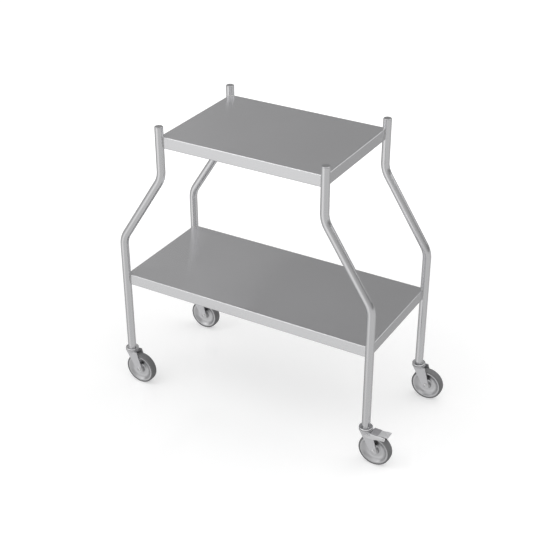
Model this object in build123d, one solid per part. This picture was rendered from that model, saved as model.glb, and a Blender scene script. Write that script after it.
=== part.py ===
from build123d import *
import math
import os

# Two-shelf catering trolley on four swivel casters, two of them braked.
# Millimetres. The origin is on the floor under the middle of the four legs,
# +X along the long side, +Y towards the back, +Z up.

# Frame
overall_length = 850.0
upper_length = 550.0
overall_depth = 400.0
overall_height = 900.0
tube_diameter = 25.0
tube_wall = 1.5
tube_bend_radius = 75.0
upper_bend_drop = 128.5
lower_bend_rise = 124.0
leg_rise = 30.0
cap_thickness = 3.2
cap_edge_radius = 2.4
cap_plug_length = 12.0
cap_plug_wall = 1.5
press_gap = 0.05

# Shelves
lower_shelf_height = 385.0
shelf_sheet = 1.5
shelf_bend_radius = 3.0
skirt_depth = 35.0
return_lip = 14.0
weld_gap = 0.2
stiffener_spacing = 170.0
stiffener_width = 40.0
stiffener_depth = 22.0
stiffener_flange = 14.0
stiffener_sheet = 1.5
stiffener_end_gap = 30.0

# Wheels
wheel_diameter = 100.0
tyre_width = 24.0
tyre_thickness = 5.5
tyre_crown = 1.2
tyre_shoulder_radius = 3.5
bead_depth = 3.0
bead_width = 18.0
rim_flange_setback = 1.0
rim_ring_width = 4.5
rim_draft = 9.0
web_thickness = 6.0
dish_radius = 18.0
hub_diameter = 28.0
hub_draft = 1.0
hub_fillet = 4.0
bush_wall = 2.0
bush_length = 12.0
bush_flange_diameter = 22.0
bush_flange_thickness = 0.9
axle_tube_diameter = 12.0
running_gap = 0.05
side_play = 0.1

# Axle fasteners
axle_bolt_diameter = 8.0
axle_head_diameter = 14.0
axle_head_height = 3.4
axle_head_crown = 2.6
axle_socket_width = 5.0
axle_socket_depth = 1.8
axle_nut_width = 13.0
axle_nut_height = 6.5
bolt_end = 2.0

# Fork
caster_trail = 33.0
fork_sheet = 2.5
fork_side_gap = 1.0
fork_bend_radius = 3.5
fork_tip_radius = 10.5
fork_lead = 11.0
fork_lead_bulge = 2.0
fork_rear = 27.0
crown_rear = 19.5
ear_rise = 3.5
ear_corner_radius = 3.0
crown_clearance = 4.0
bowl_height = 8.0
bowl_corner_radius = 6.0
bowl_lip_radius = 1.1
stem_hole_gap = 0.6

# Swivel bearing
head_diameter = 41.0
upper_ball_diameter = 5.0
upper_ball_pitch_diameter = 26.0
upper_ball_count = 12
cover_boss_diameter = 32.0
cover_thickness = 4.8
cover_gap = 1.2
cover_edge_radius = 1.6
cover_lip_width = 2.4
cover_dish_depth = 1.0
lower_ball_diameter = 3.5
lower_ball_pitch_diameter = 18.0
lower_ball_count = 12
lower_race_diameter = 23.6
lower_race_thickness = 2.0
ball_sink = 0.9
race_gap = 0.3
stem_diameter = 12.0
stem_head_diameter = 17.0
stem_head_height = 3.4
stem_head_bevel = 1.0
stem_grip = 30.0
head_nut_width = 19.0
head_nut_height = 5.0
socket_length = 40.0

# Brake
brake_casters = ("front_right", "back_left")
brake_swing = 8.0
brake_contact_gap = 0.4
lever_sheet = 2.0
lever_bend_radius = 3.0
lever_fork_gap = 0.4
lever_head_gap = 0.8
lever_rise = 2.0
lever_dip = 1.0
pivot_reach = 10.0
pivot_drop = 6.5
pivot_boss_radius = 5.5
pivot_diameter = 6.0
pivot_head_diameter = 9.0
pivot_head_height = 0.8
pivot_tail_diameter = 8.0
pivot_tail_height = 0.6
lever_reach = 68.0
lever_skirt_depth = 11.0
lever_corner_radius = 5.0
lever_waist = 46.0
lever_waist_radius = 14.0
lever_root = 33.0
tongue_width = 28.0
tongue_slot = 0.5
ramp_start = 45.0
ramp_length = 16.0
ramp_lift = 12.0
toe_length = 15.0
toe_lift = 2.0
toe_rib_count = 4
toe_rib_height = 1.0
toe_rib_width = 1.6
tread_length = 23.0
tread_margin = 2.0
tread_base = 1.0
tread_rib_count = 6
tread_rib_height = 1.2
tread_rib_width = 1.7
shoe_start = 52.0
shoe_length = 14.0
shoe_side_gap = 1.5
shoe_pin_diameter = 4.0
shoe_pin_inset = 3.5
shoe_pin_drop = 2.4
shoe_pin_head_diameter = 6.0
shoe_pin_head_height = 0.8

# Places worked out from the sizes above
upper_shelf_height = overall_height - leg_rise
upper_bend_height = upper_shelf_height - upper_bend_drop
lower_bend_height = lower_shelf_height + lower_bend_rise
tube_radius = tube_diameter / 2
tube_inner_radius = tube_radius - tube_wall
leg_x_lower = overall_length / 2 - tube_radius
leg_x_upper = upper_length / 2 - tube_radius
leg_y = overall_depth / 2 - tube_radius

wheel_radius = wheel_diameter / 2
axle_height = wheel_radius
rim_radius = wheel_radius - tyre_thickness
seat_radius = rim_radius - bead_depth
axle_tube_radius = axle_tube_diameter / 2
axle_bolt_radius = axle_bolt_diameter / 2
bush_bore_radius = axle_tube_radius + running_gap
bush_radius = bush_bore_radius + bush_wall
fork_inner = tyre_width / 2 + fork_side_gap
fork_outer = fork_inner + fork_sheet
lever_inner = fork_outer + lever_fork_gap
lever_outer = lever_inner + lever_sheet
hub_half = fork_inner - side_play - bush_flange_thickness

head_radius = head_diameter / 2
crown_under = wheel_diameter + crown_clearance
crown_top = crown_under + fork_sheet
stem_radius = stem_diameter / 2
stem_hole_radius = stem_radius + stem_hole_gap
upper_ball_radius = upper_ball_diameter / 2
lower_ball_radius = lower_ball_diameter / 2
upper_ball_height = crown_top + upper_ball_radius - ball_sink
lower_ball_height = crown_under - lower_ball_radius + ball_sink
upper_race_under = upper_ball_height + upper_ball_radius - ball_sink
cover_under = crown_under + bowl_height + cover_gap
cover_floor = cover_under + cover_thickness - cover_dish_depth
lower_race_top = lower_ball_height - lower_ball_radius + ball_sink
lower_race_under = lower_race_top - lower_race_thickness
leg_foot = cover_floor + head_nut_height

pivot_height = crown_under - pivot_drop
pivot_radius = pivot_diameter / 2
lever_top = crown_top + lever_rise
lever_under = lever_top - lever_sheet
lever_start = head_radius + lever_head_gap
shoe_pin_place = Pos(shoe_start + shoe_length - shoe_pin_inset, 0, lever_under - shoe_pin_drop)

corners = {
    "front_left": (-1, -1),
    "front_right": (1, -1),
    "back_left": (-1, 1),
    "back_right": (1, 1),
}


def save(name, solids):
    """Write one node, made of one solid or a group of separate ones."""
    group = solids if isinstance(solids, list) else [solids]
    export_step(Compound(children=[Solid(s.solid().wrapped) for s in group]), f"parts/{name}.step")


def lathe_upright(*points):
    """Turn an outline of (radius, height) points about the upright axis."""
    return revolve(Plane.XZ * make_face(Polyline(*points, close=True)), axis=Axis.Z)


def lathe_across(outline):
    """Turn an outline of (radius, across) points about the Y axis."""
    return revolve(make_face(outline), axis=Axis.Y)


def hexagon_nut(width, height, bore_radius):
    """Hexagon nut standing on the ground plane, its corners turned to a cone."""
    corner_radius = width / math.sqrt(3)
    bevel = (corner_radius - width / 2) * math.tan(math.radians(30))
    blank = extrude(RegularPolygon(width / 2, 6, major_radius=False), height)
    cone = lathe_upright(
        (bore_radius, 0),
        (width / 2, 0),
        (corner_radius, bevel),
        (corner_radius, height - bevel),
        (width / 2, height),
        (bore_radius, height),
    )
    return blank & cone


def at_corner(name, shape):
    """Move a caster piece from under the origin to under its leg."""
    side, end = corners[name]
    return Pos(side * leg_x_lower, end * leg_y) * shape


# Legs and their caps


def leg(side, end):
    """Round tube: upright, slanting outwards, upright again."""
    y = end * leg_y
    path = FilletPolyline(
        (side * leg_x_lower, y, leg_foot),
        (side * leg_x_lower, y, lower_bend_height),
        (side * leg_x_upper, y, upper_bend_height),
        (side * leg_x_upper, y, overall_height - cap_thickness),
        radius=tube_bend_radius,
    )
    section = Circle(tube_radius) - Circle(tube_inner_radius)
    return sweep(Plane(path @ 0, z_dir=path % 0) * section, path=path)


def leg_cap(side, end):
    """Flat cap with a rounded rim and a hollow plug pressed into the tube."""
    plug_radius = tube_inner_radius - press_gap
    under = overall_height - cap_thickness
    disc = Pos(0, 0, under) * extrude(Circle(tube_radius), cap_thickness)
    disc = fillet(disc.edges().sort_by(Axis.Z)[-1], cap_edge_radius)
    ring = Circle(plug_radius) - Circle(plug_radius - cap_plug_wall)
    plug = Pos(0, 0, under) * extrude(ring, -cap_plug_length)
    return Pos(side * leg_x_upper, end * leg_y) * (disc + plug)


# Shelves and their stiffeners


def shelf(half_length, top):
    """Folded pan: flat top, skirt all round and a lip turned in below.

    Its outer faces lie in the planes of the tube axes, and its corners are
    notched round the tubes.
    """
    half_depth = leg_y
    middle = top - skirt_depth / 2
    outer = Box(2 * half_length, 2 * half_depth, skirt_depth)
    folds = outer.edges().filter_by(Axis.Z, reverse=True)
    outer = fillet(folds, shelf_bend_radius)
    inner = Box(
        2 * (half_length - shelf_sheet),
        2 * (half_depth - shelf_sheet),
        skirt_depth - 2 * shelf_sheet,
    )
    folds = inner.edges().filter_by(Axis.Z, reverse=True)
    inner = fillet(folds, shelf_bend_radius - shelf_sheet)
    window = Pos(0, 0, -skirt_depth / 2) * Box(
        2 * (half_length - return_lip),
        2 * (half_depth - return_lip),
        2 * shelf_sheet,
    )
    notch = extrude(Circle(tube_radius + weld_gap), skirt_depth, both=True)
    pan = outer - inner - window
    for side, end in corners.values():
        pan -= Pos(side * half_length, end * half_depth) * notch
    return Pos(0, 0, middle) * pan


def stiffener(half_length, top, end):
    """Hat section welded under the shelf top, hidden by the skirt."""
    seat = top - shelf_sheet
    reach = half_length - stiffener_end_gap
    half = stiffener_width / 2
    brim = half + stiffener_flange
    hat = Polyline(
        (-brim, 0),
        (brim, 0),
        (brim, -stiffener_sheet),
        (half, -stiffener_sheet),
        (half, -stiffener_depth),
        (-half, -stiffener_depth),
        (-half, -stiffener_sheet),
        (-brim, -stiffener_sheet),
        close=True,
    )
    hollow = Pos(0, -(stiffener_depth - stiffener_sheet) / 2) * Rectangle(
        2 * (half - stiffener_sheet), stiffener_depth - stiffener_sheet
    )
    section = Plane.YZ * (make_face(hat) - hollow)
    return Pos(0, end * stiffener_spacing / 2, seat) * extrude(section, reach, both=True)


# Swivel bearing: the pieces that stay with the leg


def tube_socket():
    """Plug pressed into the foot of the leg, bored for the stem."""
    ring = Circle(tube_inner_radius - press_gap) - Circle(stem_radius + press_gap)
    return Pos(0, 0, leg_foot) * extrude(ring, socket_length)


def stem_bolt():
    """Round-headed stem that hangs the caster from its leg."""
    head = extrude(Circle(stem_head_diameter / 2), -stem_head_height)
    head = chamfer(head.edges().sort_by(Axis.Z)[0], stem_head_bevel)
    shank = extrude(Circle(stem_radius), leg_foot + stem_grip - lower_race_under)
    return Pos(0, 0, lower_race_under) * (head + shank)


def head_nut():
    """Lock nut between the caster head and the foot of the leg."""
    return Pos(0, 0, cover_floor) * hexagon_nut(head_nut_width, head_nut_height, stem_radius + press_gap)


def head_cover():
    """Round cover over the upper balls: a race boss below, a raised rim above."""
    bore = stem_radius + press_gap
    boss = cover_boss_diameter / 2
    edge = head_radius
    cover = lathe_upright(
        (bore, upper_race_under),
        (boss, upper_race_under),
        (boss, cover_under),
        (edge, cover_under),
        (edge, cover_under + cover_thickness),
        (edge - cover_lip_width, cover_under + cover_thickness),
        (edge - cover_lip_width, cover_floor),
        (bore, cover_floor),
    )
    rim = cover.edges().filter_by(GeomType.CIRCLE).group_by(SortBy.RADIUS)[-1]
    groove = Torus(upper_ball_pitch_diameter / 2, upper_ball_radius + race_gap)
    return fillet(rim, cover_edge_radius) - Pos(0, 0, upper_ball_height) * groove


def lower_race():
    """Washer on the stem head with a groove for the lower balls."""
    ring = Circle(lower_race_diameter / 2) - Circle(stem_radius + press_gap)
    washer = Pos(0, 0, lower_race_under) * extrude(ring, lower_race_thickness)
    groove = Torus(lower_ball_pitch_diameter / 2, lower_ball_radius + race_gap)
    return washer - Pos(0, 0, lower_ball_height) * groove


def bearing_balls():
    """Upper and lower row of balls, above and below the fork's crown."""
    upper = PolarLocations(upper_ball_pitch_diameter / 2, upper_ball_count)
    lower = PolarLocations(lower_ball_pitch_diameter / 2, lower_ball_count)
    rows = [Pos(0, 0, upper_ball_height) * place * Sphere(upper_ball_radius) for place in upper]
    rows += [Pos(0, 0, lower_ball_height) * place * Sphere(lower_ball_radius) for place in lower]
    return rows


# Fork, axle and wheel


def pressed_channel(outline, half_width, top, sheet, bend_radius):
    """Sheet folded down both sides of its top, cut to a side outline."""
    tall = top + bend_radius
    outer = Pos(0, top - tall / 2) * Rectangle(2 * half_width, tall)
    outer = fillet(outer.vertices().group_by(Axis.Y)[-1], bend_radius)
    inner = Pos(0, top - sheet - tall / 2) * Rectangle(2 * (half_width - sheet), tall)
    inner = fillet(inner.vertices().group_by(Axis.Y)[-1], bend_radius - sheet)
    channel = extrude(Plane.YZ * (outer - inner), lever_reach + toe_length + caster_trail, both=True)
    return channel & extrude(Plane.XZ * outline, half_width, both=True)


def fork(braked):
    """Fork: bowl-shaped head, flat crown and two tapered legs.

    The legs stand a little above the crown behind the bowl. On a braked
    caster they are cut down there, to let the pedal through.
    """
    tip = Pos(caster_trail, axle_height) * Circle(fork_tip_radius)
    tip_front = (caster_trail - fork_tip_radius, axle_height)
    lead_edge = SagittaArc((-fork_lead, crown_under), tip_front, fork_lead_bulge)
    crown_front = Line((-fork_lead, crown_under), (-fork_lead, crown_top))
    ear_top = crown_top + ear_rise
    ear_corner = Pos(fork_rear - ear_corner_radius, ear_top - ear_corner_radius) * Circle(ear_corner_radius)
    outline = make_hull(crown_front.edges() + lead_edge.edges() + tip.edges() + ear_corner.edges())
    legs = pressed_channel(outline, fork_outer, crown_top, fork_sheet, fork_bend_radius)
    cut_half = fork_outer if braked else fork_inner
    cut_floor = crown_under - (lever_dip if braked else fork_bend_radius)
    cutout = Box(fork_rear, 2 * cut_half, wheel_radius, align=(Align.MIN, Align.CENTER, Align.MIN))
    legs -= Pos(crown_rear, 0, cut_floor) * cutout
    if not braked:
        ear_start = math.sqrt(head_radius**2 - fork_outer**2)
        plates = Box(fork_rear, 2 * fork_outer, wheel_radius, align=(Align.MIN, Align.CENTER, Align.MIN))
        plates -= Box(fork_rear, 2 * fork_inner, wheel_radius, align=(Align.MIN, Align.CENTER, Align.MIN))
        plates = Pos(ear_start, 0, crown_top - fork_bend_radius) * plates
        legs += plates & extrude(Plane.XZ * outline, fork_outer, both=True)
    wall = head_radius - fork_sheet
    rim = crown_under + bowl_height
    section = FilletPolyline(
        (stem_hole_radius, crown_under),
        (head_radius, crown_under),
        (head_radius, rim),
        (wall, rim),
        (wall, crown_top),
        (stem_hole_radius, crown_top),
        radius=[0, bowl_corner_radius, bowl_lip_radius, bowl_lip_radius, bowl_corner_radius - fork_sheet, 0],
        close=True,
    )
    body = legs + revolve(Plane.XZ * make_face(section), axis=Axis.Z)
    body -= extrude(Circle(stem_hole_radius), crown_top + fork_sheet)
    body -= Pos(0, 0, upper_ball_height) * Torus(upper_ball_pitch_diameter / 2, upper_ball_radius + race_gap)
    body -= Pos(0, 0, lower_ball_height) * Torus(lower_ball_pitch_diameter / 2, lower_ball_radius + race_gap)
    axle_hole = extrude(Plane.XZ * Circle(axle_bolt_radius + press_gap), fork_outer, both=True)
    body -= Pos(caster_trail, 0, axle_height) * axle_hole
    if braked:
        pivot_hole = extrude(Plane.XZ * Circle(pivot_radius + press_gap), fork_outer, both=True)
        body -= Pos(pivot_reach, 0, pivot_height) * pivot_hole
    return body


def on_axle(shape):
    """Move a turned piece from the origin to the axle."""
    return Pos(caster_trail, 0, axle_height) * shape


def axle_tube():
    ring = Circle(axle_tube_radius) - Circle(axle_bolt_radius + press_gap)
    return on_axle(extrude(Plane.XZ * ring, fork_inner, both=True))


def axle_bolt():
    """Button-headed bolt through both fork legs, its head to the front."""
    length = 2 * fork_outer + axle_nut_height + bolt_end
    shank = Pos(0, -fork_outer) * extrude(Plane.XZ * Circle(axle_bolt_radius), -length)
    rim = (axle_head_diameter / 2, axle_head_crown - axle_head_height)
    top = (0, -axle_head_height)
    outline = Polyline(top, (0, 0), (axle_head_diameter / 2, 0), rim) + TangentArc(top, rim, tangent=(1, 0))
    head = lathe_across(outline)
    hexagon = RegularPolygon(axle_socket_width / 2, 6, major_radius=False)
    head -= Pos(0, axle_socket_depth - axle_head_height) * extrude(Plane.XZ * hexagon, axle_head_height)
    head = Pos(0, -fork_outer) * head
    return on_axle(head + shank)


def axle_nut():
    nut = hexagon_nut(axle_nut_width, axle_nut_height, axle_bolt_radius + press_gap)
    return on_axle(Pos(0, fork_outer) * Rot(-90, 0, 0) * nut)


def wheel_centre():
    """Cast rim with a dished web on both sides and a long hub."""
    edge = tyre_width / 2 - rim_flange_setback
    inside = rim_radius - rim_ring_width
    web = web_thickness / 2
    hub = hub_diameter / 2
    bore = bush_radius + press_gap
    half = [
        (bore, hub_half),
        (hub - hub_draft, hub_half),
        (hub, web),
        (inside - rim_draft, web),
        (inside, edge),
        (rim_radius, edge),
        (rim_radius, bead_width / 2),
        (seat_radius, bead_width / 2),
    ]
    rounds = [0, 0, hub_fillet, dish_radius, 0, 0, 0, 0]
    mirrored = [(r, -y) for r, y in reversed(half)]
    outline = FilletPolyline(*half, *mirrored, radius=rounds + rounds[::-1], close=True)
    return on_axle(lathe_across(outline))


def tyre():
    """Rubber tyre with a crowned tread, its bead seated in the groove of the rim."""
    shoulder = wheel_radius - tyre_crown
    half = [
        (shoulder, tyre_width / 2),
        (rim_radius + press_gap, tyre_width / 2),
        (rim_radius + press_gap, bead_width / 2 - press_gap),
        (seat_radius + press_gap, bead_width / 2 - press_gap),
    ]
    mirrored = [(r, -y) for r, y in reversed(half)]
    tread = ThreePointArc(mirrored[-1], (wheel_radius, 0), half[0])
    section = make_face(Polyline(*half, *mirrored) + tread)
    section = fillet(section.vertices().group_by(Axis.X)[-1], tyre_shoulder_radius)
    return on_axle(revolve(section, axis=Axis.Y))


def hub_bushes():
    """Flanged bush pressed into each end of the hub."""
    outline = Polyline(
        (bush_bore_radius, hub_half - bush_length),
        (bush_radius, hub_half - bush_length),
        (bush_radius, hub_half),
        (bush_flange_diameter / 2, hub_half),
        (bush_flange_diameter / 2, hub_half + bush_flange_thickness),
        (bush_bore_radius, hub_half + bush_flange_thickness),
        close=True,
    )
    bush = lathe_across(outline)
    return [on_axle(bush), on_axle(mirror(bush, about=Plane.XZ))]


# Brake


def pin_hole():
    """Hole for the shoe pin, through the lever and the shoe."""
    hole = Circle(shoe_pin_diameter / 2 + press_gap)
    return shoe_pin_place * extrude(Plane.XZ * hole, lever_outer, both=True)


def tongue_line(depth):
    """Side view of the pedal's tongue, flat, ramp and toe, as points at a depth below its upper face."""
    x = ramp_start
    z = lever_top
    lift = 0.0
    points = [(lever_start, lever_top - depth)]
    for length, next_lift in ((ramp_length, ramp_lift), (toe_length, toe_lift)):
        lean = math.radians(lift + next_lift) / 2
        mitre = depth / math.cos(math.radians(next_lift - lift) / 2)
        points.append((x + mitre * math.sin(lean), z - mitre * math.cos(lean)))
        lift = next_lift
        x += length * math.cos(math.radians(lift))
        z += length * math.sin(math.radians(lift))
    points.append((x + depth * math.sin(math.radians(lift)), z - depth * math.cos(math.radians(lift))))
    return points


def tongue():
    """Strip of the lever's top, slit along both sides and bent up to a ramp and a toe."""
    inside = lever_bend_radius - lever_sheet
    rounds = [0, inside, lever_bend_radius, 0, 0, inside, lever_bend_radius, 0]
    points = tongue_line(0) + tongue_line(lever_sheet)[::-1]
    strip = make_face(FilletPolyline(*points, radius=rounds, close=True))
    return extrude(Plane.XZ * strip, tongue_width / 2, both=True)


def brake_lever():
    """Pressed channel on two pivots, its top bent up at the free end to a ribbed toe."""
    boss = Pos(pivot_reach, pivot_height) * Circle(pivot_boss_radius)
    side = FilletPolyline(
        (pivot_reach, pivot_height + pivot_boss_radius),
        (lever_start, pivot_height + pivot_boss_radius),
        (lever_start, lever_top),
        (lever_reach, lever_top),
        (lever_reach, lever_top - lever_skirt_depth),
        (lever_waist, lever_top - lever_skirt_depth),
        (lever_root, pivot_height - pivot_boss_radius),
        (pivot_reach, pivot_height - pivot_boss_radius),
        radius=[0, 0, 0, 0, lever_corner_radius, lever_waist_radius, lever_corner_radius, 0],
        close=True,
    )
    body = pressed_channel(boss + make_face(side), lever_outer, lever_top, lever_sheet, lever_bend_radius)
    slit_width = tongue_width + 2 * tongue_slot
    slit = Box(lever_reach, slit_width, 2 * lever_sheet, align=(Align.MIN, Align.CENTER, Align.MAX))
    body -= Pos(ramp_start, 0, lever_top) * slit
    body += tongue()
    toe_x, toe_z = tongue_line(0)[2]
    pitch = toe_length / toe_rib_count
    rib = Box(toe_rib_width, tongue_width, toe_rib_height, align=(Align.CENTER, Align.CENTER, Align.MIN))
    for index in range(toe_rib_count):
        body += Pos(toe_x, 0, toe_z) * Rot(0, -toe_lift, 0) * Pos((index + 0.5) * pitch) * rib
    pivot_hole = extrude(Plane.XZ * Circle(pivot_radius + running_gap), lever_outer, both=True)
    return body - Pos(pivot_reach, 0, pivot_height) * pivot_hole - pin_hole()


def brake_tread():
    """Ribbed pad on top of the lever."""
    width = 2 * (lever_outer - tread_margin)
    base = Box(tread_length, width, tread_base, align=(Align.MIN, Align.CENTER, Align.MIN))
    pitch = tread_length / tread_rib_count
    rib = Box(tread_rib_width, width, tread_rib_height, align=(Align.CENTER, Align.CENTER, Align.MIN))
    for index in range(tread_rib_count):
        base += Pos((index + 0.5) * pitch, 0, tread_base) * rib
    return Pos(lever_start, 0, lever_top) * base


def brake_shoe():
    """Block under the tongue, hollowed to meet the tyre when the pedal is down."""
    width = tyre_width - 2 * shoe_side_gap
    blank = Pos(shoe_start, 0, axle_height) * Box(
        shoe_length, width, wheel_diameter, align=(Align.MIN, Align.CENTER, Align.MIN)
    )
    swing = math.radians(brake_swing)
    reach = caster_trail - pivot_reach
    drop = pivot_height - axle_height
    wheel_x = pivot_reach + reach * math.cos(swing) + drop * math.sin(swing)
    wheel_z = pivot_height + reach * math.sin(swing) - drop * math.cos(swing)
    pressed_wheel = extrude(Plane.XZ * Circle(wheel_radius + brake_contact_gap), tyre_width, both=True)
    remains = blank - Pos(wheel_x, 0, wheel_z) * pressed_wheel - tongue()
    return remains.solids().sort_by(Axis.Z)[0] - pin_hole()


def shoe_pin():
    """Headed pin through both sides of the lever, which holds the shoe."""
    shank = extrude(Plane.XZ * Circle(shoe_pin_diameter / 2), lever_outer, both=True)
    head = extrude(Plane.XZ * Circle(shoe_pin_head_diameter / 2), shoe_pin_head_height)
    pin = shank + Pos(0, -lever_outer) * head + Pos(0, lever_outer + shoe_pin_head_height) * head
    return shoe_pin_place * pin


def brake_pivots():
    """Rivet through each fork leg and the lever's side outside it."""
    outline = Polyline(
        (0, fork_inner - pivot_tail_height),
        (pivot_tail_diameter / 2, fork_inner - pivot_tail_height),
        (pivot_tail_diameter / 2, fork_inner),
        (pivot_radius, fork_inner),
        (pivot_radius, lever_outer + side_play),
        (pivot_head_diameter / 2, lever_outer + side_play),
        (pivot_radius, lever_outer + side_play + pivot_head_height),
        (0, lever_outer + side_play + pivot_head_height),
        close=True,
    )
    rivet = lathe_across(outline)
    place = Pos(pivot_reach, 0, pivot_height)
    return [place * rivet, place * mirror(rivet, about=Plane.XZ)]


os.makedirs("parts", exist_ok=True)

for name, (side, end) in corners.items():
    save(f"leg_{name}", leg(side, end))
save("leg_caps", [leg_cap(side, end) for side, end in corners.values()])
save("upper_shelf", shelf(leg_x_upper, upper_shelf_height))
save("lower_shelf", shelf(leg_x_lower, lower_shelf_height))
for name, end in (("front", -1), ("back", 1)):
    save(f"upper_stiffener_{name}", stiffener(leg_x_upper, upper_shelf_height, end))
    save(f"lower_stiffener_{name}", stiffener(leg_x_lower, lower_shelf_height, end))

fixed_pieces = {
    "tube_sockets": tube_socket(),
    "stem_bolts": stem_bolt(),
    "head_nuts": head_nut(),
    "head_covers": head_cover(),
    "lower_races": lower_race(),
}
for name, piece in fixed_pieces.items():
    save(name, [at_corner(corner, piece) for corner in corners])

caster_pieces = {
    "bearing_balls": bearing_balls(),
    "axle_tube": [axle_tube()],
    "axle_bolt": [axle_bolt()],
    "axle_nut": [axle_nut()],
    "wheel_centre": [wheel_centre()],
    "tyre": [tyre()],
    "hub_bushes": hub_bushes(),
}
brake_pieces = {
    "brake_lever": [brake_lever()],
    "brake_tread": [brake_tread()],
    "brake_shoe": [brake_shoe()],
    "brake_shoe_pin": [shoe_pin()],
    "brake_pivots": brake_pivots(),
}
for corner in corners:
    braked = corner in brake_casters
    save(f"fork_{corner}", at_corner(corner, fork(braked)))
    pieces = {**caster_pieces, **brake_pieces} if braked else caster_pieces
    for name, solids in pieces.items():
        save(f"{name}_{corner}", [at_corner(corner, solid) for solid in solids])
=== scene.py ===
import bpy, bmesh, math
from mathutils import Matrix, Vector


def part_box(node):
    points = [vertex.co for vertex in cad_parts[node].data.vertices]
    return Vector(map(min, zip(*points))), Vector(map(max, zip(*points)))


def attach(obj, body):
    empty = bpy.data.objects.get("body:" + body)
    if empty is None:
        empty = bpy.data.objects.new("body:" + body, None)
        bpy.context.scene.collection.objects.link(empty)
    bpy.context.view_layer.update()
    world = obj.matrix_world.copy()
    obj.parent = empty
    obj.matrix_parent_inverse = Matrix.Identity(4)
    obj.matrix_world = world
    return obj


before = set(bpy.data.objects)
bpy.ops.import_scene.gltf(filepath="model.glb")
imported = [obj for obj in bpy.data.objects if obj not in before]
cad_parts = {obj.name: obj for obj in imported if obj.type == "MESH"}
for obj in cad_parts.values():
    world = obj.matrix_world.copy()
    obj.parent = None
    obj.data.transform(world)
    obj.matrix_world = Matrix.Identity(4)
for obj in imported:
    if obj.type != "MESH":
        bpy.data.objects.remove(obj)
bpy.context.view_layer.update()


# The four legs: 25 mm round stainless tube, bent twice on a tube bender and ground lengthways to a satin
# finish. Each top end is closed by a cap with a rounded rim, which a hollow plug holds in the tube.
corners = ("front_left", "front_right", "back_left", "back_right")
leg_tone = (0.64, 0.64, 0.65, 1.0)
leg_grain = (900, 900, 14)
leg_clouds = (9, 9, 5)
cap_tone = (0.52, 0.52, 0.53, 1.0)
cap_grain = (700, 700, 700)
cap_clouds = (60, 60, 60)
tube_roughness = 0.20
grain_detail = 3.0
grain_break = 0.6
cloud_detail = 2.0
cloud_share = 0.6
rub_samples = 6
rub_flat, rub_edge = 0.98, 0.80
rub_low, rub_high = 0.35, 0.65
rub_scale = 120.0
rub_detail = 3.0
rub_polish = 0.25


def wire(tree, start, end):
    """Join an output socket to an input socket of the same node tree."""
    tree.links.new(start, end)


def math_node(tree, operation, first, second, third=None):
    """A Math node whose inputs are sockets or plain numbers; its output socket."""
    node = tree.nodes.new("ShaderNodeMath")
    node.operation = operation
    for place, given in enumerate((first, second, third)):
        if isinstance(given, bpy.types.NodeSocket):
            wire(tree, given, node.inputs[place])
        elif given is not None:
            node.inputs[place].default_value = given
    return node.outputs[0]


satin = bpy.data.node_groups.new("satin_grain", "ShaderNodeTree")
for socket, kind in (
    ("Grain Place", "NodeSocketVector"),
    ("Cloud Place", "NodeSocketVector"),
    ("Tone", "NodeSocketColor"),
    ("Tone Spread", "NodeSocketFloat"),
    ("Roughness", "NodeSocketFloat"),
    ("Roughness Spread", "NodeSocketFloat"),
):
    satin.interface.new_socket(socket, in_out="INPUT", socket_type=kind)
for socket, kind in (
    ("Color", "NodeSocketColor"),
    ("Roughness", "NodeSocketFloat"),
    ("Height", "NodeSocketFloat"),
):
    satin.interface.new_socket(socket, in_out="OUTPUT", socket_type=kind)
given = satin.nodes.new("NodeGroupInput")
result = satin.nodes.new("NodeGroupOutput")
grain = satin.nodes.new("ShaderNodeTexNoise")
grain.inputs["Scale"].default_value = 1.0
grain.inputs["Detail"].default_value = grain_detail
grain.inputs["Roughness"].default_value = grain_break
cloud = satin.nodes.new("ShaderNodeTexNoise")
cloud.inputs["Scale"].default_value = 1.0
cloud.inputs["Detail"].default_value = cloud_detail
wire(satin, given.outputs["Grain Place"], grain.inputs["Vector"])
wire(satin, given.outputs["Cloud Place"], cloud.inputs["Vector"])
grain_swing = math_node(satin, "SUBTRACT", grain.outputs["Fac"], 0.5)
cloud_swing = math_node(satin, "SUBTRACT", cloud.outputs["Fac"], 0.5)
both_swing = math_node(satin, "MULTIPLY_ADD", cloud_swing, cloud_share, grain_swing)
lighter = math_node(satin, "MULTIPLY_ADD", both_swing, given.outputs["Tone Spread"], 1.0)
toned = satin.nodes.new("ShaderNodeVectorMath")
toned.operation = "SCALE"
wire(satin, given.outputs["Tone"], toned.inputs[0])
wire(satin, lighter, toned.inputs["Scale"])
wire(satin, toned.outputs[0], result.inputs["Color"])
rougher = math_node(
    satin, "MULTIPLY_ADD", both_swing, given.outputs["Roughness Spread"], given.outputs["Roughness"]
)
wire(satin, rougher, result.inputs["Roughness"])
wire(satin, grain.outputs["Fac"], result.inputs["Height"])

wear = bpy.data.node_groups.new("edge_wear", "ShaderNodeTree")
for socket, kind in (
    ("Place", "NodeSocketVector"),
    ("Color", "NodeSocketColor"),
    ("Roughness", "NodeSocketFloat"),
    ("Reach", "NodeSocketFloat"),
    ("Lift", "NodeSocketFloat"),
):
    wear.interface.new_socket(socket, in_out="INPUT", socket_type=kind)
for socket, kind in (("Color", "NodeSocketColor"), ("Roughness", "NodeSocketFloat")):
    wear.interface.new_socket(socket, in_out="OUTPUT", socket_type=kind)
given = wear.nodes.new("NodeGroupInput")
result = wear.nodes.new("NodeGroupOutput")
rounded = wear.nodes.new("ShaderNodeBevel")
rounded.samples = rub_samples
wire(wear, given.outputs["Reach"], rounded.inputs["Radius"])
flat_way = wear.nodes.new("ShaderNodeNewGeometry")
turned = wear.nodes.new("ShaderNodeVectorMath")
turned.operation = "DOT_PRODUCT"
wire(wear, rounded.outputs[0], turned.inputs[0])
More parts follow.
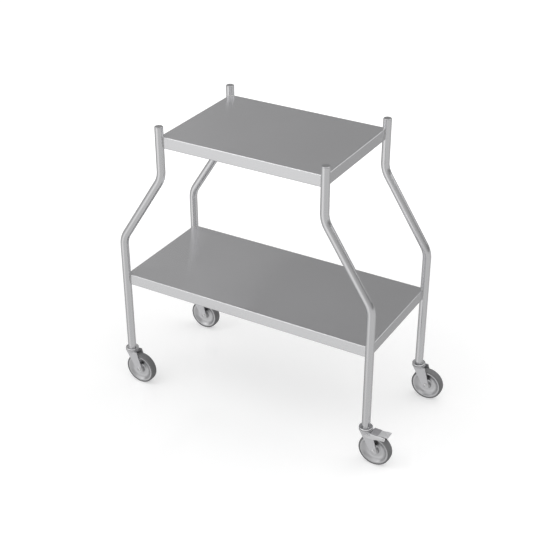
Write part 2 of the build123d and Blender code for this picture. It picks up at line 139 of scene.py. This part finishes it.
wire(wear, flat_way.outputs["Normal"], turned.inputs[1])
edge = wear.nodes.new("ShaderNodeMapRange")
edge.inputs["From Min"].default_value = rub_flat
edge.inputs["From Max"].default_value = rub_edge
wire(wear, turned.outputs["Value"], edge.inputs["Value"])
rubs = wear.nodes.new("ShaderNodeTexNoise")
rubs.inputs["Scale"].default_value = rub_scale
rubs.inputs["Detail"].default_value = rub_detail
wire(wear, given.outputs["Place"], rubs.inputs["Vector"])
patch = wear.nodes.new("ShaderNodeMapRange")
patch.inputs["From Min"].default_value = rub_low
patch.inputs["From Max"].default_value = rub_high
wire(wear, rubs.outputs["Fac"], patch.inputs["Value"])
worn = math_node(wear, "MULTIPLY", edge.outputs[0], patch.outputs[0])
brighter = math_node(wear, "MULTIPLY_ADD", worn, given.outputs["Lift"], 1.0)
toned = wear.nodes.new("ShaderNodeVectorMath")
toned.operation = "SCALE"
wire(wear, given.outputs["Color"], toned.inputs[0])
wire(wear, brighter, toned.inputs["Scale"])
wire(wear, toned.outputs[0], result.inputs["Color"])
smoother = math_node(wear, "MULTIPLY_ADD", worn, -rub_polish, 1.0)
wire(wear, math_node(wear, "MULTIPLY", given.outputs["Roughness"], smoother), result.inputs["Roughness"])


def satin_metal(
    name, tone, roughness, grain_scale, cloud_scale,
    tone_spread=0.10, roughness_spread=0.10, edge_reach=0.0006, lift=0.12,
):
    """A ground or plated metal: grain, streaked where its scale is small, soft clouds and rubbed edges."""
    material = bpy.data.materials.new(name)
    material.use_nodes = True
    tree = material.node_tree
    shader = tree.nodes["Principled BSDF"]
    shader.inputs["Metallic"].default_value = 1.0
    place = tree.nodes.new("ShaderNodeTexCoord")
    finish = tree.nodes.new("ShaderNodeGroup")
    finish.node_tree = satin
    for socket, scale in (("Grain Place", grain_scale), ("Cloud Place", cloud_scale)):
        stretch = tree.nodes.new("ShaderNodeMapping")
        stretch.inputs["Scale"].default_value = scale
        wire(tree, place.outputs["Object"], stretch.inputs["Vector"])
        wire(tree, stretch.outputs[0], finish.inputs[socket])
    finish.inputs["Tone"].default_value = tone
    finish.inputs["Tone Spread"].default_value = tone_spread
    finish.inputs["Roughness"].default_value = roughness
    finish.inputs["Roughness Spread"].default_value = roughness_spread
    rubbed = tree.nodes.new("ShaderNodeGroup")
    rubbed.node_tree = wear
    rubbed.inputs["Reach"].default_value = edge_reach
    rubbed.inputs["Lift"].default_value = lift
    wire(tree, place.outputs["Object"], rubbed.inputs["Place"])
    for socket, end in (("Color", "Base Color"), ("Roughness", "Roughness")):
        wire(tree, finish.outputs[socket], rubbed.inputs[socket])
        wire(tree, rubbed.outputs[socket], shader.inputs[end])
    return material


def dress(node, material):
    """Give a CAD node its finish."""
    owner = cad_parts[node]
    for slot in owner.material_slots:
        slot.material = material


tube_satin = satin_metal("satin_tube", leg_tone, tube_roughness, leg_grain, leg_clouds)
for corner in corners:
    dress(f"leg_{corner}", tube_satin)
dress("leg_caps", satin_metal("faced_cap", cap_tone, tube_roughness, cap_grain, cap_clouds))


# The two shelves: pans folded from one sheet of stainless each, with a skirt and a return lip, and brushed
# along the shelf. Two hat-section stiffeners of the same sheet are spot welded under each.
sheet_tone = (0.64, 0.64, 0.65, 1.0)
sheet_roughness = 0.21
sheet_grain = (10, 700, 700)
sheet_clouds = (4, 4, 4)
grain_way = (1.0, 0.0, 0.01)
sheet_satin = satin_metal(
    "brushed_sheet", sheet_tone, sheet_roughness, sheet_grain, sheet_clouds, roughness_spread=0.06
)
tree = sheet_satin.node_tree
shader = tree.nodes["Principled BSDF"]
shader.inputs["Anisotropic"].default_value = 1.0
facing = tree.nodes.new("ShaderNodeNewGeometry")
across = tree.nodes.new("ShaderNodeVectorMath")
across.operation = "CROSS_PRODUCT"
across.inputs[0].default_value = grain_way
wire(tree, facing.outputs["Normal"], across.inputs[1])
wire(tree, across.outputs[0], shader.inputs["Tangent"])
for shelf in ("upper", "lower"):
    dress(f"{shelf}_shelf", sheet_satin)
    for side in ("front", "back"):
        dress(f"{shelf}_stiffener_{side}", sheet_satin)


# The shelf welds: a narrow bead of stainless run by hand at each tube, up one skirt, over the fold, round the
# tube on the shelf top and down the other skirt. Brushing it afterwards leaves only soft ripples.
bead_radius = 0.0010
bead_pitch = 0.0010
bead_ripple = 0.88
bead_sides = 8
seam_radius = 0.0125
fold_radius = 0.003
skirt_run = 0.030
weld_tone = (0.56, 0.555, 0.545, 1.0)
weld_roughness = 0.42
weld_grain = (900, 900, 900)
weld_clouds = (120, 120, 120)


def add_piece(name, bm, material, body):
    """Close a bmesh into a piece that rides on a body and takes its finish from a slot."""
    bmesh.ops.recalc_face_normals(bm, faces=bm.faces)
    mesh = bpy.data.meshes.new(name)
    bm.to_mesh(mesh)
    bm.free()
    mesh.shade_smooth()
    mesh.materials.append(material)
    piece = bpy.data.objects.new(name, mesh)
    bpy.context.scene.collection.objects.link(piece)
    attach(piece, body)


def turn_about(centre, angle, axis):
    """Matrix of a turn about an axis through a point."""
    return Matrix.Translation(centre) @ Matrix.Rotation(angle, 4, axis) @ Matrix.Translation(-Vector(centre))


def run_bead(bm, tube_x, tube_y, top):
    """Weld of one corner: a ring carried along the seam, every other step drawn in for the ripple."""
    rise = round(skirt_run / bead_pitch)
    lift = Matrix.Translation((0, 0, bead_pitch))
    drop = Matrix.Translation((0, 0, -bead_pitch))
    fold_steps, round_steps = 4, 12
    fold_turn = -math.pi / 2 / fold_steps
    fold_height = top - fold_radius
    swing = math.pi / 2 - 2 * math.atan2(fold_radius, seam_radius)
    start = Matrix.Translation((seam_radius, 0, fold_height - rise * bead_pitch))
    made = bmesh.ops.create_circle(bm, segments=bead_sides, radius=bead_radius, matrix=start)["verts"]
    ring = list({edge for vert in made for edge in vert.link_edges})
    rings = [made]
    for count, move in (
        (rise, lift),
        (fold_steps, turn_about((0, fold_radius, fold_height), fold_turn, "X")),
        (round_steps, turn_about((0, 0, 0), swing / round_steps, "Z")),
        (fold_steps, turn_about((fold_radius, 0, fold_height), fold_turn, "Y")),
        (rise, drop),
    ):
        for _ in range(count):
            grown = bmesh.ops.extrude_edge_only(bm, edges=ring)["geom"]
            fresh = [part for part in grown if isinstance(part, bmesh.types.BMVert)]
            edges = [part for part in grown if isinstance(part, bmesh.types.BMEdge)]
            ring = [edge for edge in edges if set(edge.verts) <= set(fresh)]
            bmesh.ops.transform(bm, matrix=move, verts=fresh)
            rings.append(fresh)
    bmesh.ops.holes_fill(bm, edges=[edge for edge in bm.edges if edge.is_boundary])
    for ring_verts in rings[1::2]:
        middle = sum((vert.co for vert in ring_verts), Vector()) / len(ring_verts)
        bmesh.ops.scale(bm, vec=(bead_ripple,) * 3, space=Matrix.Translation(-middle), verts=ring_verts)
    everything = [vert for ring_verts in rings for vert in ring_verts]
    mirror = Matrix.Diagonal((-math.copysign(1, tube_x), -math.copysign(1, tube_y), 1, 1))
    bmesh.ops.transform(bm, matrix=Matrix.Translation((tube_x, tube_y, 0)) @ mirror, verts=everything)


weld_satin = satin_metal(
    "brushed_weld", weld_tone, weld_roughness, weld_grain, weld_clouds,
    tone_spread=0.12, roughness_spread=0.12,
)
for shelf in ("upper", "lower"):
    low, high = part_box(f"{shelf}_shelf")
    bm = bmesh.new()
    for tube_x in (low[0], high[0]):
        for tube_y in (low[1], high[1]):
            run_bead(bm, tube_x, tube_y, high[2])
    add_piece(f"{shelf}_shelf_welds", bm, weld_satin, "frame")


# The spot welds: round marks of the welding tips, in a row under each of a stiffener's two flanges. Each is a
# shallow dent with a raised rim, left as the machine made it.
spot_radius = 0.0028
spot_sides = 14
spot_rim = 0.00025
spot_dent = 0.00018
spot_slope = 0.0004
spot_lip = 0.0005
spot_spacing = 0.085
spot_inset = 0.025
flange_sheet = 0.0015
flange_half = 0.007
spot_tone = (0.50, 0.49, 0.47, 1.0)
spot_roughness = 0.34
spot_grain = (1200, 1200, 1200)
spot_clouds = (200, 200, 200)
spot_steel = satin_metal(
    "spot_weld", spot_tone, spot_roughness, spot_grain, spot_clouds,
    tone_spread=0.15, roughness_spread=0.12,
)
for shelf in ("upper", "lower"):
    bm = bmesh.new()
    for side in ("front", "back"):
        low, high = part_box(f"{shelf}_stiffener_{side}")
        reach = high[0] - spot_inset
        count = round(2 * reach / spot_spacing) + 1
        for flange_y in (low[1] + flange_half, high[1] - flange_half):
            for number in range(count):
                spot_x = -reach + 2 * reach * number / (count - 1)
                spot = Vector((spot_x, flange_y, high[2] - flange_sheet))
                mark = bmesh.ops.create_cone(
                    bm, cap_ends=True, segments=spot_sides, radius1=spot_radius - spot_slope,
                    radius2=spot_radius, depth=2 * spot_rim, matrix=Matrix.Translation(spot),
                )["verts"]
                faces = {face for vert in mark for face in vert.link_faces}
                print_face = min(faces, key=lambda face: face.calc_center_median().z)
                bmesh.ops.inset_region(bm, faces=[print_face], thickness=spot_lip)
                bmesh.ops.inset_region(bm, faces=[print_face], thickness=spot_slope)
                bmesh.ops.translate(bm, vec=(0, 0, spot_dent), verts=print_face.verts)
    add_piece(f"{shelf}_spot_welds", bm, spot_steel, "frame")


# The swivel heads: a threaded plug pressed into each tube, the stem bolt in it and its lock nut, all turned
# steel with bright zinc, over a round pressed cover that keeps dirt out. Two rows of greased balls run below.
zinc_tone = (0.68, 0.68, 0.69, 1.0)
zinc_roughness = 0.25
zinc_grain = (1500, 1500, 1500)
zinc_clouds = (80, 80, 80)
race_tone = (0.42, 0.41, 0.39, 1.0)
race_roughness = 0.30
race_grain = (600, 600, 600)
race_clouds = (150, 150, 150)
zinc_bright = satin_metal(
    "bright_zinc", zinc_tone, zinc_roughness, zinc_grain, zinc_clouds,
    tone_spread=0.04, roughness_spread=0.05,
)
for piece in ("tube_sockets", "stem_bolts", "head_nuts", "head_covers"):
    dress(piece, zinc_bright)
race_steel = satin_metal("greased_race", race_tone, race_roughness, race_grain, race_clouds)
dress("lower_races", race_steel)
for corner in corners:
    dress(f"bearing_balls_{corner}", race_steel)


# The forks: each pressed from steel sheet with a bowl for the balls and two tapered legs, then plated with
# bright zinc. The plating is smooth and a little cloudy.
fork_tone = (0.61, 0.61, 0.625, 1.0)
fork_roughness = 0.38
fork_metal = 0.7
plate_grain = (1800, 1800, 1800)
plate_clouds = (45, 45, 45)
fork_zinc = satin_metal(
    "plated_fork", fork_tone, fork_roughness, plate_grain, plate_clouds,
    tone_spread=0.04, roughness_spread=0.05,
)
fork_zinc.node_tree.nodes["Principled BSDF"].inputs["Metallic"].default_value = fork_metal
for corner in corners:
    dress(f"fork_{corner}", fork_zinc)


# The axles: a spacer tube clamped between the fork legs by a domed socket bolt and a hexagon nut.
# All are bright zinc plated steel.
for corner in corners:
    for piece in ("axle_tube", "axle_bolt", "axle_nut"):
        dress(f"{piece}_{corner}", zinc_bright)


# The axle threads: the end of each axle bolt that stands out of its nut, with the last turn of its rolled
# thread. It is the same zinc plated steel as the bolt.
thread_root = 0.0039
thread_crest = 0.0043
thread_half = 0.0005
thread_pitch = 0.00125
thread_margin = 0.0001
turn_steps = 36
for corner in corners:
    nut_low, nut_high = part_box(f"axle_nut_{corner}")
    bolt_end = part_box(f"axle_bolt_{corner}")[1][1]
    axle = Vector(((nut_low[0] + nut_high[0]) / 2, 0, (nut_low[2] + nut_high[2]) / 2))
    start_y = bolt_end - thread_pitch - thread_half - thread_margin
    bm = bmesh.new()
    profile = [
        bm.verts.new((axle.x + radius, start_y + along, axle.z))
        for radius, along in ((thread_root, -thread_half), (thread_crest, 0.0), (thread_root, thread_half))
    ]
    outline = [bm.edges.new((profile[place], profile[place - 1])) for place in range(3)]
    bmesh.ops.spin(
        bm, geom=profile + outline, cent=axle, axis=(0, 1, 0), angle=2 * math.pi, steps=turn_steps,
        dvec=(0, thread_pitch / turn_steps, 0),
    )
    bmesh.ops.holes_fill(bm, edges=[edge for edge in bm.edges if edge.is_boundary])
    add_piece(f"axle_thread_{corner}", bm, zinc_bright, f"caster_{corner}")


# The wheels: a centre die-cast in aluminium with a rim, a dished web and a hub, and a tyre of grey rubber on
# it. Two flanged nylon bushes pressed into the hub run on the axle tube.
alloy_tone = (0.52, 0.52, 0.53, 1.0)
alloy_roughness = 0.31
alloy_grain = (1500, 1500, 1500)
alloy_clouds = (60, 60, 60)
tyre_tone = (0.20, 0.20, 0.205, 1.0)
nylon_tone = (0.72, 0.71, 0.67, 1.0)
mould_clouds = (30, 30, 30)
pebble_height = 0.0002


def moulded(name, tone, roughness, pebble_scale, bump=0.0):
    """A moulded plastic or rubber: fine pebble over soft clouds, with an optional bump from the pebble."""
    material = satin_metal(
        name, tone, roughness, (pebble_scale,) * 3, mould_clouds, tone_spread=0.12, roughness_spread=0.15
    )
    tree = material.node_tree
    shader = tree.nodes["Principled BSDF"]
    shader.inputs["Metallic"].default_value = 0.0
    if bump:
        finish = next(node for node in tree.nodes if node.type == "GROUP" and node.node_tree == satin)
        relief = tree.nodes.new("ShaderNodeBump")
        relief.inputs["Strength"].default_value = bump
        relief.inputs["Distance"].default_value = pebble_height
        wire(tree, finish.outputs["Height"], relief.inputs["Height"])
        wire(tree, relief.outputs[0], shader.inputs["Normal"])
    return material


wheel_alloy = satin_metal(
    "cast_alloy", alloy_tone, alloy_roughness, alloy_grain, alloy_clouds,
    tone_spread=0.05, roughness_spread=0.05,
)
tyre_rubber = moulded("grey_rubber", tyre_tone, roughness=0.60, pebble_scale=700, bump=0.4)
bush_nylon = moulded("natural_nylon", nylon_tone, roughness=0.40, pebble_scale=600)
for corner in corners:
    dress(f"wheel_centre_{corner}", wheel_alloy)
    dress(f"tyre_{corner}", tyre_rubber)
    dress(f"hub_bushes_{corner}", bush_nylon)


# The tyres' mould lines: two fine ridges where the halves of the mould met, near the shoulders of each tyre.
# They are the same rubber as the tyre.
line_radius = 0.0492
line_height = 0.00022
line_half = 0.0004
line_offset = 0.0092
line_steps = 120
merge_gap = 1e-6
for corner in corners:
    low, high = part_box(f"tyre_{corner}")
    hub = (Vector(low) + Vector(high)) / 2
    bm = bmesh.new()
    for offset in (-line_offset, line_offset):
        profile = [
            bm.verts.new((hub.x + line_radius + rise, hub.y + offset + along, hub.z))
            for rise, along in ((-line_height, -line_half), (line_height, 0.0), (-line_height, line_half))
        ]
        outline = [bm.edges.new((profile[place], profile[place - 1])) for place in range(3)]
        bmesh.ops.spin(
            bm, geom=profile + outline, cent=hub, axis=(0, 1, 0), angle=2 * math.pi, steps=line_steps,
            use_merge=True,
        )
    bmesh.ops.remove_doubles(bm, verts=bm.verts, dist=merge_gap)
    add_piece(f"tyre_mould_lines_{corner}", bm, tyre_rubber, f"wheel_{corner}")


# The two brakes: a pressed steel pedal riveted to the fork, its top slit and bent up to a ribbed toe, with a
# ribbed plastic tread for the foot. A rubber shoe, held under it by a pin, rubs on the tyre when it is down.
lever_tone = (0.72, 0.72, 0.73, 1.0)
lever_roughness = 0.46
lever_metal = 0.5
tread_tone = (0.35, 0.345, 0.36, 1.0)
shoe_tone = (0.045, 0.045, 0.045, 1.0)
pedal_plastic = moulded("pedal_plastic", tread_tone, roughness=0.48, pebble_scale=900, bump=0.25)
lever_zinc = satin_metal(
    "plated_lever", lever_tone, lever_roughness, plate_grain, plate_clouds,
    tone_spread=0.04, roughness_spread=0.05,
)
lever_zinc.node_tree.nodes["Principled BSDF"].inputs["Metallic"].default_value = lever_metal
shoe_rubber = moulded("black_rubber", shoe_tone, roughness=0.65, pebble_scale=700, bump=0.4)
for corner in ("front_right", "back_left"):
    dress(f"brake_lever_{corner}", lever_zinc)
    dress(f"brake_tread_{corner}", pedal_plastic)
    dress(f"brake_shoe_{corner}", shoe_rubber)
    dress(f"brake_shoe_pin_{corner}", zinc_bright)
    dress(f"brake_pivots_{corner}", zinc_bright)


# The floor: a plain white sweep with a faint polish, whose matt paint keeps the shadow. The rest of its white
# is painted light, a glow that shows to the camera alone. It is weaker near the trolley, so that the shadow
# there shows, and stronger far off, where the lamps' light falls away. The metal looks past it to the darker
# room below the horizon.
floor_size = 9.0
floor_matt = 0.70
floor_roughness = 0.05
glow_near, glow_far = 0.44, 0.70
glow_start, glow_end = 0.6, 2.0


def smooth_ramp(tree, start, near, far, low, high):
    """Value that runs smoothly from low to high while a socket's own value runs from near to far."""
    ramp = tree.nodes.new("ShaderNodeMapRange")
    ramp.interpolation_type = "SMOOTHSTEP"
    for socket, given in (("From Min", near), ("From Max", far), ("To Min", low), ("To Max", high)):
        ramp.inputs[socket].default_value = given
    wire(tree, start, ramp.inputs["Value"])
    return ramp.outputs[0]


bm = bmesh.new()
bmesh.ops.create_grid(bm, x_segments=1, y_segments=1, size=floor_size)
floor_mesh = bpy.data.meshes.new("floor")
bm.to_mesh(floor_mesh)
bm.free()
floor = bpy.data.objects.new("floor", floor_mesh)
bpy.context.scene.collection.objects.link(floor)
floor_paint = bpy.data.materials.new("white_floor")
floor_paint.use_nodes = True
tree = floor_paint.node_tree
shader = tree.nodes["Principled BSDF"]
shader.inputs["Base Color"].default_value = (floor_matt, floor_matt, floor_matt, 1.0)
shader.inputs["Roughness"].default_value = floor_roughness
shader.inputs["Emission Color"].default_value = (1.0, 1.0, 1.0, 1.0)
rays = tree.nodes.new("ShaderNodeLightPath")
place = tree.nodes.new("ShaderNodeTexCoord")
reach = tree.nodes.new("ShaderNodeVectorMath")
reach.operation = "LENGTH"
wire(tree, place.outputs["Object"], reach.inputs[0])
seen = math_node(tree, "MAXIMUM", rays.outputs["Is Camera Ray"], rays.outputs["Is Transmission Ray"])
# Painted light: the camera-only glow of the floor, weaker near the trolley and stronger far off.
glow_ramp = smooth_ramp(tree, reach.outputs["Value"], glow_start, glow_end, glow_near, glow_far)
wire(tree, math_node(tree, "MULTIPLY", seen, glow_ramp), shader.inputs["Emission Strength"])
past = tree.nodes.new("ShaderNodeBsdfTransparent")
either = tree.nodes.new("ShaderNodeMixShader")
wire(tree, rays.outputs["Is Glossy Ray"], either.inputs[0])
wire(tree, shader.outputs[0], either.inputs[1])
wire(tree, past.outputs[0], either.inputs[2])
wire(tree, either.outputs[0], tree.nodes["Material Output"].inputs["Surface"])
floor_mesh.materials.append(floor_paint)


# The room: grey walls, darker at the back right, which the shelf tops mirror, and a pale panel low at the
# front left, which the skirts and tubes mirror. The camera sees plain white. Four lamps are broad, to keep
# the shelf tops below white, and a small one gives the front folds their shine.
grey_wall, dark_wall = 0.390, 0.27
front_gain = 0.40
left_wall_gain = 0.14
low_pale, low_dark = 0.71, 0.40
panel_gain = 0.54
patch_scale, patch_detail, patch_gain = 5.0, 1.0, 0.16
lamp_aim = Vector((0, 0, 0.4))
world = bpy.data.worlds.new("studio")
bpy.context.scene.world = world
world.use_nodes = True
room = world.node_tree
sky = room.nodes["Background"]
sky.inputs["Color"].default_value = (1.0, 1.0, 1.0, 1.0)
way = room.nodes.new("ShaderNodeTexCoord")


def wall(towards, near, far, low, high):
    """Strength that runs from low to high as the way looked turns towards a side of the room."""
    turn = room.nodes.new("ShaderNodeVectorMath")
    turn.operation = "DOT_PRODUCT"
    turn.inputs[1].default_value = towards
    wire(room, way.outputs["Generated"], turn.inputs[0])
    return smooth_ramp(room, turn.outputs["Value"], near, far, low, high)


back_right = wall((0.655, 0.756, 0.0), near=0.3, far=0.9, low=grey_wall, high=dark_wall)
front = wall((0.0, -1.0, 0.0), near=0.0, far=0.9, low=1.0, high=1.0 + front_gain)
left = wall((-0.843, -0.537, 0.0), near=-0.03, far=0.03, low=1.0, high=1.0 + left_wall_gain)
patches = room.nodes.new("ShaderNodeTexNoise")
patches.inputs["Scale"].default_value = patch_scale
patches.inputs["Detail"].default_value = patch_detail
wire(room, way.outputs["Generated"], patches.inputs["Vector"])
uneven = math_node(room, "MULTIPLY_ADD", patches.outputs["Fac"], patch_gain, 1.0 - patch_gain / 2)
high_room = math_node(room, "MULTIPLY", math_node(room, "MULTIPLY", back_right, front), left)
high_room = math_node(room, "MULTIPLY", high_room, uneven)
down = wall((0.0, 0.0, -1.0), near=0.0, far=0.12, low=0.0, high=1.0)
back_left = wall((-0.5, 0.866, 0.0), near=-0.25, far=0.95, low=low_pale, high=low_dark)
panel = wall((-0.454, -0.891, 0.0), near=0.74, far=0.92, low=1.0, high=1.0 + panel_gain)
low_room = math_node(room, "MULTIPLY", back_left, panel)
high_room = math_node(room, "MULTIPLY", high_room, math_node(room, "SUBTRACT", 1.0, down))
shade = math_node(room, "MULTIPLY_ADD", low_room, down, high_room)
rays = room.nodes.new("ShaderNodeLightPath")
seen = math_node(room, "MAXIMUM", rays.outputs["Is Camera Ray"], rays.outputs["Is Transmission Ray"])
wire(room, math_node(room, "MAXIMUM", shade, seen), sky.inputs["Strength"])
for lamp_name, hung_at, side, watts in (
    ("overhead", (1.1, -0.4, 3.1), 4.6, 46.0),
    ("softbox", (-1.9, -3.3, 2.3), 4.2, 17.0),
    ("fold_light", (-1.47, -1.53, 3.52), 1.3, 8.0),
    ("left_light", (-2.6, -0.9, 2.6), 3.4, 22.0),
    ("edge_light", (1.8, 2.2, 2.6), 3.2, 24.0),
):
    light = bpy.data.lights.new(lamp_name, "AREA")
    light.size = side
    light.energy = watts
    lamp = bpy.data.objects.new(lamp_name, light)
    lamp.location = hung_at
    lamp.rotation_euler = (lamp_aim - Vector(hung_at)).to_track_quat("-Z", "Y").to_euler()
    bpy.context.scene.collection.objects.link(lamp)


# The camera: the photograph's view, from in front on the right and above.
# Its place and lens were solved from the straight tubes and the shelf edges.
view_from = (1.49075, -2.57898, 2.12235)
view_tilt, view_turn = math.radians(59.96), math.radians(30.04)
lens = bpy.data.cameras.new("photo_view")
lens.sensor_width = 36.0
lens.lens = 74.487
lens.shift_x = 0.00193
lens.shift_y = 0.00278
camera = bpy.data.objects.new("photo_view", lens)
camera.location = view_from
camera.rotation_euler = (view_tilt, 0.0, view_turn)
bpy.context.scene.collection.objects.link(camera)
bpy.context.scene.camera = camera
bpy.context.scene.view_settings.view_transform = "Standard"
